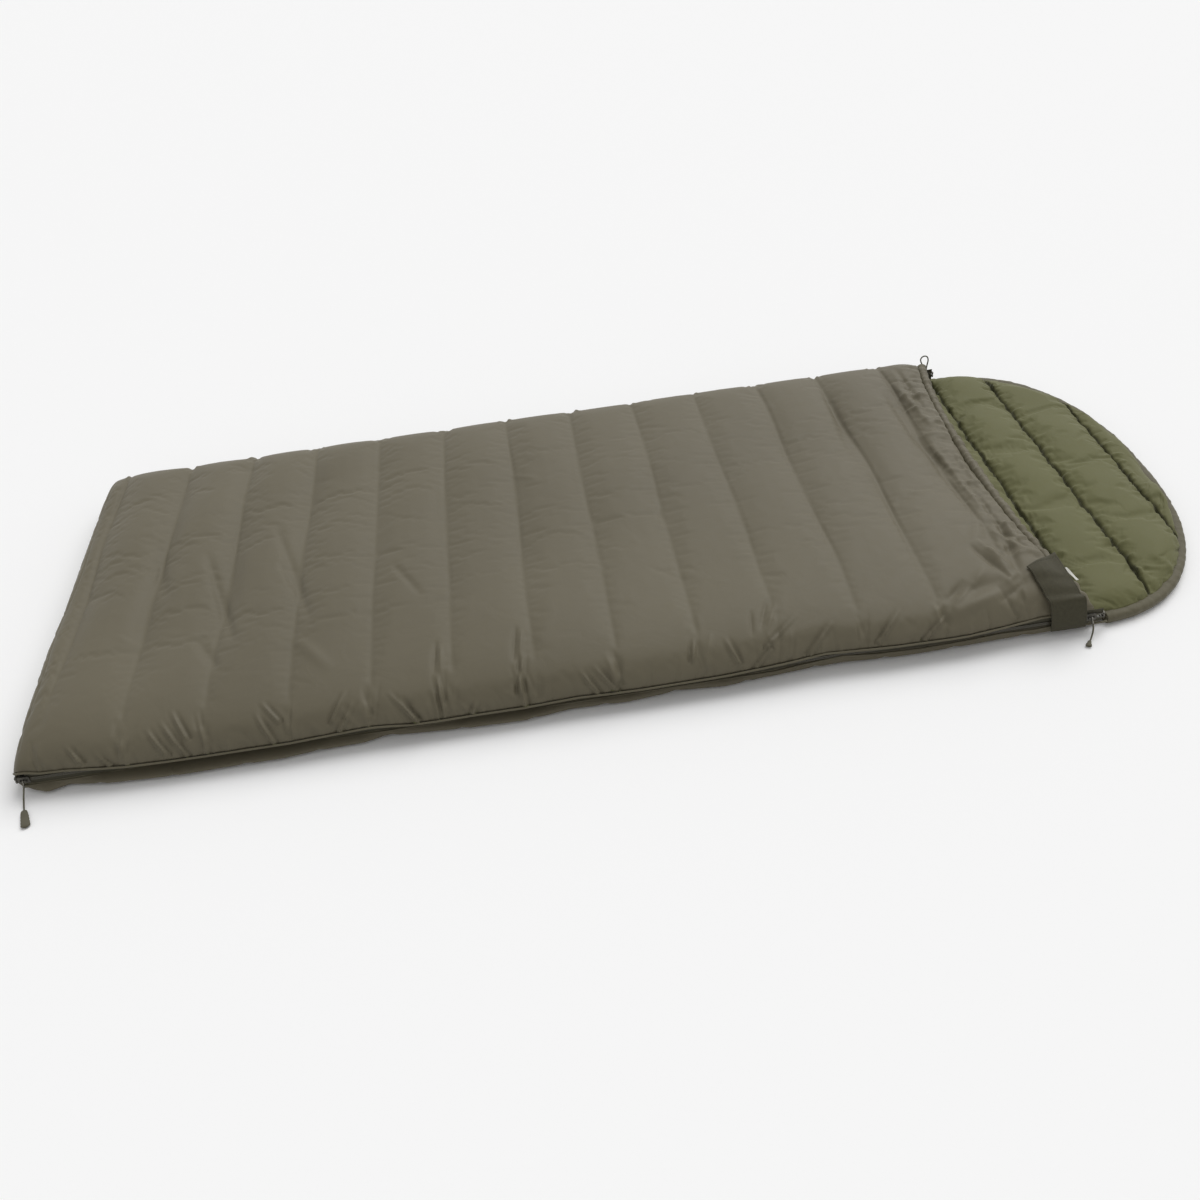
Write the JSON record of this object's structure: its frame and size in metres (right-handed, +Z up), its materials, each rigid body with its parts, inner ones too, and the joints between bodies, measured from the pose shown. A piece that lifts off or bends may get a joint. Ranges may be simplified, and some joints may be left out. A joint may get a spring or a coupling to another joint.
{
  "type": "sleeping bag",
  "caption": "Rectangular quilted sleeping bag with an open padded hood, two-way side zips with pull cords, and a cover that folds back.",
  "frame": {"origin": "on the ground, midway across the bag and 1075 mm from its foot end", "axes": "+X from the foot to the hood, +Y to the far side zip, +Z up out of the cover"},
  "size_m": [2.1894, 1.0692, 0.1029],
  "materials": {
    "shell_fabric": "satin woven polyester, khaki grey",
    "lining_fabric": "soft brushed polyester, olive green",
    "wadding": "white hollow-fibre wadding",
    "edge_fabric": "matt woven polyester, dark khaki",
    "zip_tape": "matt woven tape, near black olive",
    "zip_teeth": "moulded polyester, near black olive",
    "zip_metal": "satin enamel, dark olive",
    "bail_metal": "satin zinc",
    "pull_cord": "braided polyester cord, olive",
    "grip_rubber": "moulded soft plastic, olive",
    "tab_fabric": "dense woven hook-and-loop tape, dark olive",
    "label_fabric": "blank woven satin tape, off white"
  },
  "bodies": {
    "bag": {"base_shell": "shell_fabric", "base_fill": "wadding", "base_lining": "lining_fabric", "cover_shell": "shell_fabric", "cover_fill": "wadding", "cover_lining": "lining_fabric", "base_piping": "edge_fabric", "cover_piping": "edge_fabric", "draught_baffles": "lining_fabric", "near_base_tape": "zip_tape", "far_base_tape": "zip_tape", "near_cover_tape": "zip_tape", "far_cover_tape": "zip_tape", "near_base_teeth": "zip_teeth", "far_base_teeth": "zip_teeth", "near_cover_teeth": "zip_teeth", "far_cover_teeth": "zip_teeth", "foot_zip_stops": "zip_metal", "head_zip_stops": "zip_metal", "base_loop_patch": "tab_fabric"},
    "hood": {"hood_shell": "shell_fabric", "hood_fill": "wadding", "hood_lining": "lining_fabric", "hood_edge_band": "edge_fabric"},
    "head_cover": {"cover_head_shell": "shell_fabric", "cover_head_fill": "wadding", "cover_head_lining": "lining_fabric", "cover_hem": "shell_fabric", "cover_head_piping": "edge_fabric", "head_draught_baffles": "lining_fabric", "near_cover_head_tape": "zip_tape", "far_cover_head_tape": "zip_tape", "near_cover_head_teeth": "zip_teeth", "far_cover_head_teeth": "zip_teeth", "cover_zip_stops": "zip_metal", "side_label": "label_fabric"},
    "tab": {"closure_tab": "tab_fabric", "tab_hook_patch": "tab_fabric"},
    "near_head_runner": {"near_head_slider": "zip_metal"},
    "near_head_pull": {"near_head_bail": "bail_metal", "near_head_cord": "pull_cord", "near_head_grip": "grip_rubber"},
    "far_head_runner": {"far_head_slider": "zip_metal"},
    "far_head_pull": {"far_head_bail": "bail_metal", "far_head_cord": "pull_cord"},
    "near_foot_runner": {"near_foot_slider": "zip_metal"},
    "near_foot_pull": {"near_foot_bail": "bail_metal", "near_foot_cord": "pull_cord", "near_foot_grip": "grip_rubber"},
    "far_foot_runner": {"far_foot_slider": "zip_metal"},
    "far_foot_pull": {"far_foot_bail": "bail_metal", "far_foot_cord": "pull_cord", "far_foot_grip": "grip_rubber"}
  },
  "joints": [
    {"name": "cover_fold", "type": "hinge", "parent": "bag", "child": "head_cover", "pos_m": [0.113, 0, 0.108], "axis": [0, -1, 0], "range_deg": [0, 175]},
    {"name": "hood_lift", "type": "hinge", "parent": "bag", "child": "hood", "pos_m": [0.836, 0, 0.04], "axis": [0, -1, 0], "range_deg": [0, 90]},
    {"name": "tab_lift", "type": "hinge", "parent": "head_cover", "child": "tab", "pos_m": [0.755, -0.3475, 0.0948], "axis": [-0.8767, -0.4384, 0.198], "range_deg": [0, 150]},
    {"name": "near_head_slide", "type": "slide", "parent": "bag", "child": "near_head_runner", "axis": [1, 0, 0], "range_m": [-1.25, 0], "deforming": ["near_base_teeth", "near_cover_teeth", "near_cover_head_teeth", "closure_tab", "tab_hook_patch"]},
    {"name": "far_head_slide", "type": "slide", "parent": "bag", "child": "far_head_runner", "axis": [1, 0, 0], "range_m": [-1.25, 0], "deforming": ["far_base_teeth", "far_cover_teeth", "far_cover_head_teeth"]},
    {"name": "near_foot_slide", "type": "slide", "parent": "bag", "child": "near_foot_runner", "axis": [1, 0, 0], "range_m": [0, 0.5]},
    {"name": "far_foot_slide", "type": "slide", "parent": "bag", "child": "far_foot_runner", "axis": [1, 0, 0], "range_m": [0, 0.5]},
    {"name": "near_head_swing", "type": "hinge", "parent": "near_head_runner", "child": "near_head_pull", "pos_m": [0.802, -0.4531, 0.03], "axis": [-1, 0, 0], "range_deg": [0, 110]},
    {"name": "far_head_swing", "type": "hinge", "parent": "far_head_runner", "child": "far_head_pull", "pos_m": [0.811, 0.4531, 0.03], "axis": [-1, 0, 0], "range_deg": [0, 110]},
    {"name": "near_foot_swing", "type": "hinge", "parent": "near_foot_runner", "child": "near_foot_pull", "pos_m": [-1.054, -0.4531, 0.03], "axis": [-1, 0, 0], "range_deg": [0, 110]},
    {"name": "far_foot_swing", "type": "hinge", "parent": "far_foot_runner", "child": "far_foot_pull", "pos_m": [-1.054, 0.4531, 0.03], "axis": [1, 0, 0], "range_deg": [0, 110]}
  ]
}
